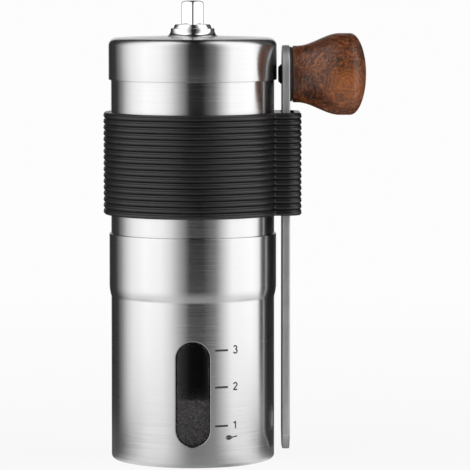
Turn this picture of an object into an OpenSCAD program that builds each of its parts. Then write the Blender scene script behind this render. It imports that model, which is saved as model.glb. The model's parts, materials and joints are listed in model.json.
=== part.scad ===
// Hand crank coffee grinder with a conical ceramic burr, in millimetres.
// The grinder stands on its grounds cup: +Z is up, and the origin is the centre of the
// cup's base. The sight window faces -Y. The crank is stowed upright at +X, with its arm
// in the loop of the silicone grip and its knob pointing away from the body.

/* [Body] */
// Outside diameter of the hopper tube and of the lower cup
body_d = 47; // [46:0.5:48]
// Thickness of the drawn steel shells
wall = 0.45; // [0.4:0.05:0.6]
// Height of the cup's flared mouth above the base
mouth_z = 65.3; // [64:0.1:66]
// Height of the top end of the hopper tube
tube_top_z = 118.9; // [118:0.1:119.2]

/* [Lid] */
// Outside diameter of the lid
lid_d = 48.4; // [48.2:0.1:49]
// Height of the lid's lower rim
lid_rim_z = 109.4; // [106:0.1:111]
// Height of the lid's shoulder
lid_top_z = 121.1; // [120.8:0.1:121.4]
// Radius of the rounded shoulder
shoulder_r = 2.2; // [1.8:0.1:2.6]

/* [Window] */
// Width of the window slot
window_w = 9.8; // [8:0.2:11]
// Height of the window slot
window_h = 29.9; // [26:0.5:31]
// Height of the slot's centre above the base
window_z = 21.1; // [20.5:0.1:22]

/* [Grip sleeve] */
// Height of the sleeve's lower edge
grip_bottom_z = 70.8; // [68:0.1:72]
// Height of the sleeve
grip_h = 29.3; // [26:0.1:31]
// Number of ribs round the sleeve
rib_count = 17; // [9:1:21]
// Thickness of the sleeve at the crest of a rib
grip_t = 2.2; // [2:0.1:2.6]
// Depth of the grooves between the ribs
rib_depth = 0.5; // [0.3:0.1:0.7]

/* [Crank] */
// Distance from the socket's centre to the knob's axis
crank_r = 99.4; // [95:0.2:101]
// Width of the crank arm
arm_w = 16.6; // [15:0.1:17]
// Thickness of the crank arm
arm_t = 2.2; // [1.8:0.1:2.4]
// Height of the socket's centre while the crank is stowed
socket_z = 11.5; // [10:0.1:13]
// Distance from the grinder's axis to the arm's inner face
arm_x = 25.65; // [25.6:0.05:25.8]

/* [Knob] */
// Diameter of the knob's neck
neck_d = 16.3; // [15:0.1:18]
// Largest diameter of the knob
knob_d = 23.5; // [21:0.1:26]
// Length of the knob
knob_l = 21.2; // [20:0.1:24]

/* [Drive] */
// Diameter of the drive shaft
shaft_d = 6; // [5.8:0.1:6.2]
// Radius of the circle through the corners of the pentagonal post
post_r = 3.4; // [3.2:0.05:3.5]
// Height of the post's tip
post_top_z = 132.1; // [129:0.1:133]
// Pitch of the adjusting thread, which is how far a full turn of the dial moves the burr
thread_pitch = 0.8; // [0.5:0.05:1]

/* [Hidden] */
$fn = 96;
eps = 0.01;
body_r = body_d / 2;
fit = 0.1;                         // radial clearance of parts that slide over each other
tube_in_r = body_r - wall;
collar_r = body_r + fit + wall;    // flared mouth of the cup
step_top_z = 50.6;                 // the swage between collar and lower cup
step_bottom_z = 47.1;
base_fillet = 1.2;
lid_hole_r = 6.3;                  // hole of the guide ring in the lid
boss_barrel_r = 6.25;
liner_r = tube_in_r - fit;
liner_in_r = liner_r - 1.85;
liner_top_z = 45.7;
liner_bottom_z = 0.6;
liner_floor_z = 2;
shaft_r = shaft_d / 2;
run = 0.06;                        // radial clearance of the shaft in its bushes
flat_r = 2.5;                      // half width across the shaft's two drive flats
thread_r = 2.45;
thread_root_r = 2.05;
thread_top_z = 41.5;
shaft_bottom_z = 31.5;
flats_top_z = 60.5;
rod_top_z = 122.3;
journal_r = 5.45;                  // round journal under the pentagonal post
journal_bottom_z = 117.7;
post_base_z = 125.2;
pin_z = 120.1;                     // the pin through shaft and head
pin_r = 0.8;
clip_z = [96.35, 96.95];           // retaining ring over the upper bush
clip_depth = 0.45;                 // how far that ring sits in the shaft's groove
tube_bottom_z = 50.2;

// Burr set
pocket_r = 17.05;
ring_r = 17;
ring_bottom_z = 44.7;
ring_top_z = 58.65;
ledge_z = 58.7;
throat_r = 12.6;
cone_bottom_z = 43.1;
cone_top_z = 58.7;
cone_bore_r = 5.6;
core_r = 5.55;
core_bottom_z = 41.4;
core_top_z = 59.1;
key_w = 2.5;                       // keys that turn the ceramic cone with its core
key_r = 6.7;
key_h = 7.87;
housing_r = 20.6;
housing_top_z = 72.5;
hub_r = 6.6;
hub_bottom_z = 66.5;
hub_top_z = 74.5;
bush_r = 5;
washer_t = 0.5;
spring_r = 4.3;
spring_wire_r = 0.4;
spring_turns = 5;
retainer_bottom_z = 43.2;
retainer_r = 20.5;
screw_circle_r = 18.7;
screw_r = 1;

// Upper bracket
bracket_z = 88.5;
bracket_h = 5;
bracket_hub_z = [87, 95];

// Adjusting dial
dial_z = [33.5, 41.3];
dial_r = 9;
nut_z = [34, 37.7];
nut_across_r = 4.6;

// Crank
knob_z = socket_z + crank_r;
arm_out_x = arm_x + arm_t;
knob_x = arm_out_x + 0.8;
knob_r = knob_d / 2;
neck_r = neck_d / 2;
screw_hole_r = 2.05;
axle_r = 3;
knob_bore_r = 4;
axle_head_x = knob_x + 16;
plug_x = knob_x + 18.2;
plug_r = 5.6;

// Grip
pocket_gap = 0.3;                  // room round the arm in the sleeve's loop
loop_corner_r = 4.35;
loop_out_x = 31.2;
loop_x = loop_out_x - loop_corner_r;
loop_half_w = 10.65 - loop_corner_r;
pocket_x = [arm_x - pocket_gap, arm_out_x + 1.3];
pocket_half_w = arm_w / 2 + 0.35;
rib_pitch = grip_h / rib_count;

// ---------------------------------------------------------------- shared shapes

// Points of an arc about [x, y], from angle a0 to a1
function arc(x, y, r, a0, a1, n = 6) =
    [for (i = [0:n]) let (a = a0 + (a1 - a0) * i / n) [x + r * cos(a), y + r * sin(a)]];

module ring(r_out, r_in, z0, z1) {
    translate([0, 0, z0])
        difference() {
            cylinder(r = r_out, h = z1 - z0);
            translate([0, 0, -1]) cylinder(r = r_in, h = z1 - z0 + 2);
        }
}

// A profile of [radius, height] points turned about the Z axis
module revolve(points) {
    rotate_extrude() polygon(points);
}

// A part drawn about +Z, laid along +X at the height of the knob
module on_knob_axis(x = 0) {
    translate([x, 0, knob_z]) rotate([0, 90, 0]) children();
}

// An upright slot outline with round ends
module slot_outline(w, h) {
    square([w, h - w], center = true);
    for (s = [-1, 1]) translate([0, s * (h - w) / 2]) circle(d = w);
}

// The same slot as a solid through the cup's front wall
module window_slot(w, h) {
    translate([0, -body_r / 2, window_z])
        rotate([90, 0, 0]) linear_extrude(height = body_r) slot_outline(w, h);
}

// Three arms from a hub at radius r0 out to radius r1
module spider(r0, r1, z0, z1, w) {
    for (a = [60, 180, 300]) rotate([0, 0, a])
        translate([r0, -w / 2, z0]) cube([r1 - r0, w, z1 - z0]);
}

// ---------------------------------------------------------------- grounds cup

// Outer edge of the swage, from the lower cup up to the collar
function swage(shift) =
    let (dr = collar_r - body_r, dz = step_top_z - step_bottom_z,
         r = (dr * dr + dz * dz) / (2 * dr), a = asin(dz / r))
    arc(collar_r - r - shift, step_top_z, r, -a, 0, 5);

module cup_shell() {
    lip_r = 0.2;
    outer = concat(
        [[0, 0]],
        arc(body_r - base_fillet, base_fillet, base_fillet, -90, 0),
        swage(0),
        arc(collar_r - lip_r, mouth_z - lip_r, lip_r, 0, 90, 3));
    inner = concat(
        [[collar_r - wall, mouth_z]],
        [for (i = [5:-1:0]) swage(wall)[i]],
        arc(body_r - base_fillet, base_fillet, base_fillet - wall, 0, -90),
        [[0, wall]]);
    color("silver")
        difference() {
            revolve(concat(outer, inner));
            window_slot(window_w, window_h);
        }
}

module cup_liner() {
    lip_margin = 0.8;      // inner lip that backs the pane
    seat_margin = 3;       // pocket for the pane's flange
    color([0.08, 0.08, 0.09])
        difference() {
            revolve([
                [0, liner_bottom_z], [liner_r - 1.8, liner_bottom_z], [liner_r, liner_bottom_z + 1.8],
                [liner_r, liner_top_z],
                [liner_in_r + 0.4, liner_top_z], [liner_in_r, liner_top_z - 0.6],
                [liner_in_r, liner_floor_z + 1.5], [liner_in_r - 1.5, liner_floor_z],
                [0, liner_floor_z]]);
            window_slot(window_w + lip_margin, window_h + lip_margin);
            difference() {
                window_slot(window_w + seat_margin, window_h + seat_margin);
                cylinder(r = liner_in_r + 0.6, h = mouth_z);
            }
        }
}

module window_pane() {
    flange_margin = 2.8;
    front_margin = -0.5;   // gap between the pane and the steel slot
    color([0.1, 0.1, 0.12, 0.6]) {
        intersection() {
            ring(liner_r - 0.05, liner_in_r + 0.65, 0, mouth_z);
            window_slot(window_w + flange_margin, window_h + flange_margin);
        }
        intersection() {
            ring(body_r - 0.1, liner_in_r + 0.65, 0, mouth_z);
            window_slot(window_w + front_margin, window_h + front_margin);
        }
    }
}

// ---------------------------------------------------------------- hopper

module hopper_tube() {
    color("silver")
        difference() {
            ring(body_r, tube_in_r, tube_bottom_z, tube_top_z);
            translate([0, 0, tube_top_z - 0.25])
                cylinder(r1 = tube_in_r - eps, r2 = tube_in_r + 0.3, h = 0.3);
        }
}

// Outline of the sleeve seen from above, with the surface drawn in by inset
module grip_outline(inset) {
    circle(r = body_r + grip_t - inset);
    for (s = [-1, 1]) translate([loop_x, s * loop_half_w]) circle(r = loop_corner_r - inset);
    translate([body_r - 3, -loop_half_w]) square([loop_out_x - inset - body_r + 3, 2 * loop_half_w]);
    translate([loop_x - loop_corner_r + 1.5, -loop_half_w - loop_corner_r + inset])
        square([loop_corner_r - 1.5, 2 * (loop_half_w + loop_corner_r - inset)]);
}

module grip_sleeve() {
    rib_h = rib_pitch * 0.55;
    color([0.12, 0.12, 0.12])
        difference() {
            union() {
                translate([0, 0, grip_bottom_z]) linear_extrude(height = grip_h) grip_outline(rib_depth);
                for (i = [0:rib_count - 1])
                    translate([0, 0, grip_bottom_z + (i + 0.5) * rib_pitch - rib_h / 2])
                        linear_extrude(height = rib_h) grip_outline(0);
            }
            translate([0, 0, grip_bottom_z - 1]) cylinder(r = body_r, h = grip_h + 2);
            translate([pocket_x[0], -pocket_half_w, grip_bottom_z - 1])
                cube([pocket_x[1] - pocket_x[0], 2 * pocket_half_w, grip_h + 2]);
        }
}

module upper_bracket() {
    color([0.1, 0.1, 0.1])
        difference() {
            union() {
                ring(tube_in_r - 0.05, tube_in_r - 1.5, bracket_z, bracket_z + bracket_h);
                spider(4, tube_in_r - 1, bracket_z, bracket_z + bracket_h, 3);
                translate([0, 0, bracket_hub_z[0]])
                    cylinder(r = hub_r - 0.4, h = bracket_hub_z[1] - bracket_hub_z[0]);
            }
            cylinder(r = bush_r, h = tube_top_z);
        }
}

// Flanged bearing bush with its flange on top, whose barrel fills z0 to z1
module flanged_bush(z0, z1) {
    flange_t = 0.8;
    difference() {
        union() {
            translate([0, 0, z0]) cylinder(r = bush_r, h = z1 - z0);
            translate([0, 0, z1]) cylinder(r = bush_r + 1, h = flange_t);
        }
        translate([0, 0, z0 - 1]) cylinder(r = shaft_r + run, h = z1 - z0 + flange_t + 2);
    }
}

module upper_bush() {
    color("ivory") flanged_bush(bracket_hub_z[0], bracket_hub_z[1]);
}

module lower_bush() {
    color("ivory") flanged_bush(hub_bottom_z, hub_top_z);
}

// ---------------------------------------------------------------- burr housing

module burr_housing() {
    lip_t = 0.5;           // lip under the tube's lower end
    lip_r = body_r - 0.2;
    in_tube_r = tube_in_r - 0.05;
    color([0.1, 0.1, 0.1])
        difference() {
            union() {
                revolve([
                    [pocket_r, ring_bottom_z], [housing_r, ring_bottom_z],
                    [housing_r, tube_bottom_z - lip_t - 0.6], [lip_r, tube_bottom_z - lip_t],
                    [lip_r, tube_bottom_z], [in_tube_r, tube_bottom_z],
                    [in_tube_r, housing_top_z], [tube_in_r - 0.8, housing_top_z],
                    [throat_r, ledge_z + 1.4], [throat_r, ledge_z], [pocket_r, ledge_z]]);
                spider(4, tube_in_r - 1, hub_bottom_z, hub_bottom_z + 5.5, 3.2);
                translate([0, 0, hub_bottom_z]) cylinder(r = hub_r, h = hub_top_z - hub_bottom_z);
            }
            cylinder(r = bush_r, h = tube_top_z);
            for (a = [0, 120, 240]) rotate([0, 0, a])
                translate([screw_circle_r, 0, ring_bottom_z - 1]) cylinder(r = screw_r, h = 5.2, $fn = 24);
        }
}

module outer_burr() {
    flutes = 24;
    flute = [1.2, 0.9, 18];
    color("white")
        difference() {
            revolve([
                [13.2, ring_bottom_z], [ring_r, ring_bottom_z], [ring_r, ring_top_z],
                [13.6, ring_top_z], [11.2, ring_top_z - 2.65], [11.9, ring_bottom_z + 5.8]]);
            for (i = [0:flutes - 1]) rotate([0, 0, i * 360 / flutes])
                translate([13.1, 0, ring_bottom_z + 4.3]) rotate([-24, 0, 0]) rotate([0, 10, 0])
                    translate([-0.9, -flute.y / 2, -flute.z / 2]) cube(flute);
        }
}

module burr_retainer() {
    color([0.1, 0.1, 0.1])
        difference() {
            ring(retainer_r, 14, retainer_bottom_z, ring_bottom_z - 0.05);
            for (a = [0, 120, 240]) rotate([0, 0, a])
                translate([screw_circle_r, 0, retainer_bottom_z - 1])
                    cylinder(r = screw_r + 0.1, h = 5, $fn = 24);
        }
}

// Three pan head screws up through the retainer into the housing
module retainer_screws() {
    head_r = 1.7;
    head_h = 1;
    color("gainsboro")
        for (a = [0, 120, 240]) rotate([0, 0, a]) translate([screw_circle_r, 0, 0])
            difference() {
                union() {
                    translate([0, 0, retainer_bottom_z - head_h])
                        cylinder(r1 = head_r - 0.3, r2 = head_r, h = head_h, $fn = 24);
                    translate([0, 0, retainer_bottom_z - eps])
                        cylinder(r = screw_r - 0.02, h = 5.4, $fn = 24);
                }
                for (t = [0, 90]) rotate([0, 0, t])
                    translate([-1, -0.2, retainer_bottom_z - head_h - 1]) cube([2, 0.4, 1.5]);
            }
}

// ---------------------------------------------------------------- lid

module lid_shell() {
    r = lid_d / 2;
    dome = 0.65;           // rise of the top from the shoulder to the boss
    mid_r = 14;
    mid_z = lid_top_z + dome * 0.62;
    color("silver")
        revolve(concat(
            [[r, lid_rim_z]],
            arc(r - shoulder_r, lid_top_z - shoulder_r, shoulder_r, 0, 90),
            [[mid_r, mid_z], [lid_hole_r, lid_top_z + dome],
             [lid_hole_r, lid_top_z + dome - wall], [mid_r, mid_z - wall]],
            arc(r - shoulder_r, lid_top_z - shoulder_r, shoulder_r - wall, 90, 0),
            [[r - wall, lid_rim_z]]));
}

module lid_liner() {
    disc_z = tube_top_z + 0.05;
    disc_r = lid_d / 2 - wall - 0.1;
    skirt_r = tube_in_r - 0.2;
    skirt_t = 1.5;
    skirt_bottom_z = tube_top_z - 7;
    color([0.1, 0.1, 0.1])
        revolve([
            [lid_hole_r, disc_z], [skirt_r - skirt_t, disc_z], [skirt_r - skirt_t, skirt_bottom_z],
            [skirt_r - 0.4, skirt_bottom_z], [skirt_r, skirt_bottom_z + 0.6], [skirt_r, disc_z],
            [disc_r, disc_z], [disc_r, disc_z + 0.3], [disc_r - 1.75, lid_top_z - 0.5],
            [14, lid_top_z - 0.1], [lid_hole_r, lid_top_z + 0.1]]);
}

// Chromed guide ring in the centre of the lid, round the shaft's journal
module lid_boss() {
    bore_r = journal_r + fit;
    bottom_z = lid_top_z - 3.7;
    flange_z = lid_top_z + 0.7;
    flange_r = 7.2;
    neck_r = 1.75;         // of the concave neck over the flange
    lip_z = lid_top_z + 3;
    color("gainsboro")
        revolve(concat(
            [[bore_r, bottom_z], [boss_barrel_r, bottom_z], [boss_barrel_r, flange_z],
             [flange_r, flange_z], [flange_r, flange_z + 0.2]],
            arc(lid_hole_r + neck_r, flange_z + neck_r, neck_r, -120, -180, 5),
            [[lid_hole_r, lip_z - 0.25], [lid_hole_r - 0.25, lip_z], [bore_r + 0.2, lip_z],
             [bore_r, lip_z - 0.2]]));
}

// Push-on ring that holds the boss from below
module boss_nut() {
    color("gainsboro") ring(8.8, boss_barrel_r, tube_top_z - 1.2, tube_top_z);
}

// ---------------------------------------------------------------- drive shaft

// Rings of thread on the shaft's lower end
function thread_profile() =
    let (z0 = shaft_bottom_z + 0.8, n = floor((thread_top_z - z0 - 0.2) / thread_pitch))
    concat(
        [[0, shaft_bottom_z], [thread_root_r - 0.3, shaft_bottom_z], [thread_r, z0 - 0.1]],
        [for (i = [0:n - 1], p = [
            [thread_r, z0 + i * thread_pitch],
            [thread_root_r, z0 + (i + 0.45) * thread_pitch],
            [thread_r, z0 + (i + 0.9) * thread_pitch]]) p],
        [[thread_r, thread_top_z], [0, thread_top_z]]);

module drive_shaft() {
    color("lightgray") {
        revolve(thread_profile());
        intersection() {
            translate([0, 0, thread_top_z]) cylinder(r = shaft_r, h = flats_top_z - thread_top_z);
            translate([-shaft_r - 1, -flat_r, thread_top_z])
                cube([2 * shaft_r + 2, 2 * flat_r, flats_top_z - thread_top_z]);
        }
        difference() {
            translate([0, 0, flats_top_z]) cylinder(r = shaft_r, h = rod_top_z - flats_top_z);
            ring(shaft_r + 1, shaft_r - clip_depth - 0.05, clip_z[0] - 0.03, clip_z[1] + 0.03);
            cross_pin(2 * shaft_r + 2);
        }
    }
}

// The pin, or its hole, across the shaft and its head
module cross_pin(length) {
    translate([0, 0, pin_z]) rotate([90, 0, 0])
        cylinder(r = pin_r, h = length, center = true, $fn = 24);
}

// Chromed head: a journal, a collar and the five-sided post that carries the crank
module shaft_head() {
    collar_chamfer = 0.4;
    post_foot_z = pin_z;
    color("gainsboro")
        difference() {
            union() {
                revolve([
                    [0, journal_bottom_z], [journal_r - 0.2, journal_bottom_z],
                    [journal_r, journal_bottom_z + 0.2], [journal_r, post_base_z - 0.95],
                    [journal_r - collar_chamfer, post_base_z - 0.1],
                    [journal_r - collar_chamfer - 0.15, post_base_z], [0, post_base_z]]);
                intersection() {
                    translate([0, 0, post_foot_z]) rotate([0, 0, -90])
                        cylinder(r = post_r, h = post_top_z - post_foot_z, $fn = 5);
                    revolve([
                        [0, post_foot_z], [post_r + 1, post_foot_z], [post_r + 1, post_top_z - 2.4],
                        [post_r, post_top_z - 1.3], [post_r - 0.3, post_top_z - 0.55],
                        [post_r - 0.75, post_top_z - 0.15], [post_r - 1.3, post_top_z], [0, post_top_z]]);
                }
                revolve([
                    [0, post_base_z - 0.2], [post_r + 0.2, post_base_z - 0.2],
                    [post_r + 0.15, post_base_z + 0.25], [post_r - 0.15, post_base_z + 0.8],
                    [post_r - 0.7, post_base_z + 1.5], [0, post_base_z + 1.5]]);
            }
            translate([0, 0, journal_bottom_z - 1])
                cylinder(r = shaft_r, h = rod_top_z - journal_bottom_z + 1);
            cross_pin(2 * journal_r + 2);
        }
}

module head_pin() {
    color("lightgray") cross_pin(2 * journal_r - 0.6);
}

// Open retaining ring in the shaft's groove, above the upper bush
module shaft_clip() {
    opening = 3.8;
    color("dimgray")
        difference() {
            ring(5, shaft_r - clip_depth, clip_z[0], clip_z[1]);
            translate([0, -opening / 2, clip_z[0] - 1]) cube([8, opening, 3]);
        }
}

module shaft_washers() {
    color("lightgray") {
        ring(5.8, shaft_r + 0.1, clip_z[0] - washer_t, clip_z[0] - 0.03);
        ring(6, shaft_r + 0.1, hub_bottom_z - washer_t, hub_bottom_z - 0.03);
    }
}

// A ring of points round the spring's wire where the coil has turned through t degrees
function coil_ring(t, z0, z1, sides) =
    let (z = z0 + (z1 - z0) * t / (360 * spring_turns))
    [for (k = [0:sides - 1]) let (b = 360 * k / sides)
        [(spring_r + spring_wire_r * cos(b)) * cos(t), (spring_r + spring_wire_r * cos(b)) * sin(t),
         z + spring_wire_r * sin(b)]];

module burr_spring() {
    sides = 6;
    steps = 20 * spring_turns;
    z0 = core_top_z + washer_t + spring_wire_r + 0.05;
    z1 = hub_bottom_z - washer_t - spring_wire_r - 0.05;
    points = [for (i = [0:steps], p = coil_ring(i * 360 * spring_turns / steps, z0, z1, sides)) p];
    walls = [for (i = [0:steps - 1], k = [0:sides - 1])
        let (a = i * sides + k, b = i * sides + (k + 1) % sides) [a, a + sides, b + sides, b]];
    color("lightgray")
        polyhedron(points, concat(walls, [[for (k = [0:sides - 1]) k]],
            [[for (k = [sides - 1:-1:0]) steps * sides + k]]), convexity = 10);
}

// ---------------------------------------------------------------- moving burr

module inner_burr() {
    flutes = 24;
    flute = [1.6, 0.8, 12];
    feeders = 6;           // wide grooves at the top that draw the beans in
    feeder = [3, 1.8, 10];
    color("white")
        difference() {
            revolve([
                [cone_bore_r, cone_bottom_z], [12.3, cone_bottom_z], [13.05, cone_bottom_z + 0.8],
                [13.0, ring_bottom_z], [11.7, cone_bottom_z + 7.4], [9.9, cone_bottom_z + 10.8],
                [7.3, cone_top_z], [cone_bore_r, cone_top_z]]);
            for (i = [0:flutes - 1]) rotate([0, 0, i * 360 / flutes])
                translate([12.9, 0, cone_bottom_z + 3.4]) rotate([28, 0, 0]) rotate([0, -12, 0])
                    translate([-0.5, -flute.y / 2, -flute.z / 2]) cube(flute);
            for (i = [0:feeders - 1]) rotate([0, 0, i * 360 / feeders])
                translate([8.6, 0, cone_top_z - 2.2]) rotate([30, 0, 0]) rotate([0, -27, 0])
                    translate([-0.4, -feeder.y / 2, -feeder.z / 2]) cube(feeder);
            for (s = [0, 180]) rotate([0, 0, s])
                translate([0, -key_w / 2 - 0.05, cone_bottom_z - 1])
                    cube([key_r + 0.1, key_w + 0.1, key_h + 1.18]);
        }
}

module burr_core() {
    detents = 12;          // notches that the dial's ball clicks into
    detent_r = 0.55;
    detent_circle_r = 7.6;
    flange_r = 9.5;
    flange_top_z = cone_bottom_z - 0.03;
    color([0.15, 0.15, 0.15])
        difference() {
            union() {
                translate([0, 0, core_bottom_z]) cylinder(r = core_r, h = core_top_z - core_bottom_z);
                translate([0, 0, core_bottom_z]) cylinder(r = flange_r, h = flange_top_z - core_bottom_z);
                for (s = [0, 180]) rotate([0, 0, s])
                    translate([0, -key_w / 2, flange_top_z - eps]) cube([key_r, key_w, key_h + 0.03]);
            }
            intersection() {
                translate([0, 0, core_bottom_z - 1]) cylinder(r = shaft_r + run, h = 20);
                translate([-5, -flat_r - run, core_bottom_z - 1]) cube([10, 2 * (flat_r + run), 20]);
            }
            for (i = [0:detents - 1]) rotate([0, 0, i * 360 / detents])
                translate([detent_circle_r, 0, core_bottom_z]) sphere(r = detent_r, $fn = 24);
        }
}

module spring_seat() {
    color("lightgray") ring(5.5, shaft_r + 0.1, core_top_z + 0.03, core_top_z + washer_t);
}

// ---------------------------------------------------------------- adjusting dial

module adjuster_dial() {
    hollows = 8;           // finger hollows round the rim
    hollow_r = 2.4;
    color([0.1, 0.1, 0.1])
        difference() {
            revolve([
                [0, dial_z[0]], [dial_r - 0.8, dial_z[0]], [dial_r, dial_z[0] + 0.8],
                [dial_r, dial_z[1] - 0.6], [dial_r - 0.6, dial_z[1]], [0, dial_z[1]]]);
            for (i = [0:hollows - 1]) rotate([0, 0, (i + 0.5) * 360 / hollows])
                translate([dial_r + 1.3, 0, dial_z[0] - 1])
                    cylinder(r = hollow_r, h = dial_z[1] - dial_z[0] - 0.8, $fn = 32);
            translate([0, 0, dial_z[0] - 1])
                cylinder(r = nut_across_r + 0.06, h = nut_z[1] - dial_z[0] + 1, $fn = 6);
            cylinder(r = thread_r + 0.25, h = mouth_z);
        }
}

module adjuster_nut() {
    color("goldenrod")
        difference() {
            translate([0, 0, nut_z[0]]) cylinder(r = nut_across_r, h = nut_z[1] - nut_z[0] - 0.03, $fn = 6);
            cylinder(r = thread_r + 0.05, h = mouth_z);
        }
}

// ---------------------------------------------------------------- crank

// Outline of the arm seen along X: round at the knob, cut off at 45 degrees at the socket
module arm_outline() {
    half = arm_w / 2;
    cut_z = socket_z - 4.1;      // where the slanting cuts start
    tip_half = 3.6;
    tip_z = cut_z - 4.5;
    translate([knob_z, 0]) circle(r = half);
    polygon([[cut_z, -half], [knob_z, -half], [knob_z, half], [cut_z, half],
             [tip_z, tip_half], [tip_z, -tip_half]]);
}

module crank_arm() {
    socket_clearance = 0.15;
    color("lightslategray")
        translate([arm_x, 0, 0]) rotate([0, 90, 0]) rotate([0, 0, 180])
            difference() {
                linear_extrude(height = arm_t) arm_outline();
                translate([socket_z, 0, -1])
                    cylinder(r = post_r + socket_clearance, h = arm_t + 2, $fn = 5);
                translate([knob_z, 0, -1]) cylinder(r = screw_hole_r, h = arm_t + 2, $fn = 32);
            }
}

// Button head screw from the arm's inner side, with a hexagon recess
module knob_screw() {
    head_r = 2.8;
    head_h = 1.05;
    shank_l = 9;
    color([0.05, 0.05, 0.05])
        on_knob_axis(arm_x)
            difference() {
                union() {
                    translate([0, 0, -head_h]) cylinder(r1 = head_r - 0.7, r2 = head_r, h = 0.7);
                    translate([0, 0, 0.69 - head_h]) cylinder(r = head_r, h = head_h - 0.7);
                    translate([0, 0, -0.1]) cylinder(r = screw_hole_r - 0.05, h = shank_l + 0.1);
                }
                translate([0, 0, -2]) cylinder(r = 1.3, h = 1.7, $fn = 6);
            }
}

// Sleeve that the knob turns on, with a head inside the knob
module knob_axle() {
    head_t = 1.6;
    color("lightgray")
        on_knob_axis(arm_out_x)
            difference() {
                union() {
                    cylinder(r = axle_r, h = axle_head_x - arm_out_x + eps);
                    translate([0, 0, axle_head_x - arm_out_x]) cylinder(r = plug_r - 0.6, h = head_t);
                }
                translate([0, 0, -1]) cylinder(r = screw_hole_r - 0.03, h = 13);
            }
}

module knob_washer() {
    color([0.1, 0.1, 0.1])
        on_knob_axis() ring(neck_r - 0.3, axle_r + 0.05, arm_out_x + 0.03, knob_x - 0.15);
}

// ---------------------------------------------------------------- knob

// Radius of the knob at a distance along its axis: an S-curve, then an elliptical end
function knob_radius(s) =
    let (end = 4.65, start = 1.4, t = min(1, max(0, (s - start) / (knob_l - end - start - 3))),
         k = max(0, s - knob_l + end) / end)
    (neck_r + (knob_r - neck_r) * t * t * (3 - 2 * t)) * sqrt(max(0, 1 - k * k));

module knob_blank() {
    n = 40;
    revolve(concat(
        [[0, 0], [neck_r - 0.4, 0]],
        [for (i = [1:n]) let (u = i / n, s = knob_l * (1 - (1 - u) * (1 - u))) [knob_radius(s), s]]));
}

module knob() {
    color("saddlebrown")
        on_knob_axis(knob_x)
            difference() {
                knob_blank();
                translate([0, 0, -1]) cylinder(r = knob_bore_r, h = knob_l);
                translate([0, 0, axle_head_x - knob_x - 0.1]) cylinder(r = plug_r, h = knob_l);
            }
}

module knob_bush() {
    color("goldenrod")
        on_knob_axis(knob_x) ring(knob_bore_r, axle_r + run, 0.05, axle_head_x - knob_x - 0.1);
}

module knob_plug() {
    color("sienna")
        on_knob_axis(knob_x)
            intersection() {
                knob_blank();
                translate([0, 0, plug_x - knob_x]) cylinder(r = plug_r, h = knob_l);
            }
}

// ---------------------------------------------------------------- nodes

cup_shell();
cup_liner();
window_pane();
hopper_tube();
grip_sleeve();
upper_bracket();
upper_bush();
burr_housing();
lower_bush();
outer_burr();
burr_retainer();
retainer_screws();
lid_shell();
lid_liner();
lid_boss();
boss_nut();
drive_shaft();
shaft_head();
head_pin();
shaft_clip();
shaft_washers();
burr_spring();
inner_burr();
burr_core();
spring_seat();
adjuster_dial();
adjuster_nut();
crank_arm();
knob_screw();
knob_axle();
knob_washer();
knob();
knob_bush();
knob_plug();
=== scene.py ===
"""Looks of the hand crank coffee grinder, built round its CAD frame.

Lengths are metres, +Z is up and the grinder's axis is the Z axis. The sight window faces -Y
and the stowed crank stands at +X. Sizes and places come from the boxes of the CAD nodes. What a
box can't say, such as a fillet, is a named value of the piece's own function.
"""
import json
import math
import random

import bmesh
import bpy
from mathutils import Matrix, Vector, noise


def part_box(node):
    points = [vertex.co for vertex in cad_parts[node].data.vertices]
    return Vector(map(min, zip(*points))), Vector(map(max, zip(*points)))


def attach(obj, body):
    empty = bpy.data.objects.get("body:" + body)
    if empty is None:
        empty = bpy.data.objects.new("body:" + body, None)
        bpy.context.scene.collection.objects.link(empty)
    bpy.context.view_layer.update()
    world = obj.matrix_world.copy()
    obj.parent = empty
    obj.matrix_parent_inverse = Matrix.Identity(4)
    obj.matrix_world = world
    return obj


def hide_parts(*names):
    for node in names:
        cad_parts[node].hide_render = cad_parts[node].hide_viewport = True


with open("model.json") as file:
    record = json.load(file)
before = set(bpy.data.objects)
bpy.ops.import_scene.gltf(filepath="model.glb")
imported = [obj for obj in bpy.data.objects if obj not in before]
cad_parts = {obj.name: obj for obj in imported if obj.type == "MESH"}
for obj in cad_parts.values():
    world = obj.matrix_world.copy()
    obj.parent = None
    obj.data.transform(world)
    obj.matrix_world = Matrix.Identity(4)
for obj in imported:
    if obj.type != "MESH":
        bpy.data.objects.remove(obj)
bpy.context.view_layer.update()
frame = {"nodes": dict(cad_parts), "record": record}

MM = 0.001
TURN = 2 * math.pi
FRONT = -math.pi / 2           # polar angle of the sight window, which faces -Y
SEGMENTS = 256                 # facets of a turned surface
WALL = 0.45 * MM               # thickness of the steel shells


def low(node):
    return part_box(node)[0]


def high(node):
    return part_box(node)[1]


# ---------- meshes


def placed(name, data):
    """A new object in the scene."""
    made = bpy.data.objects.new(name, data)
    bpy.context.scene.collection.objects.link(made)
    return made


def piece(name, mesh_data, body, slot, stands_for=(), material=None, sharp_above=32):
    """A mesh object that rides on a body and takes the place of CAD nodes. It has the material of
    its slot unless one is given."""
    vertices, faces = mesh_data
    mesh = bpy.data.meshes.new(name)
    mesh.from_pydata([tuple(v) for v in vertices], [], faces)
    work = bmesh.new()
    work.from_mesh(mesh)
    bmesh.ops.remove_doubles(work, verts=work.verts, dist=1e-7)
    bmesh.ops.recalc_face_normals(work, faces=work.faces)
    work.to_mesh(mesh)
    work.free()
    for face in mesh.polygons:
        face.use_smooth = True
    mesh.set_sharp_from_angle(angle=math.radians(sharp_above))
    mesh.materials.append(material or materials[slot])
    made = placed(name, mesh)
    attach(made, body)
    if stands_for:
        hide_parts(*stands_for)


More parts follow.
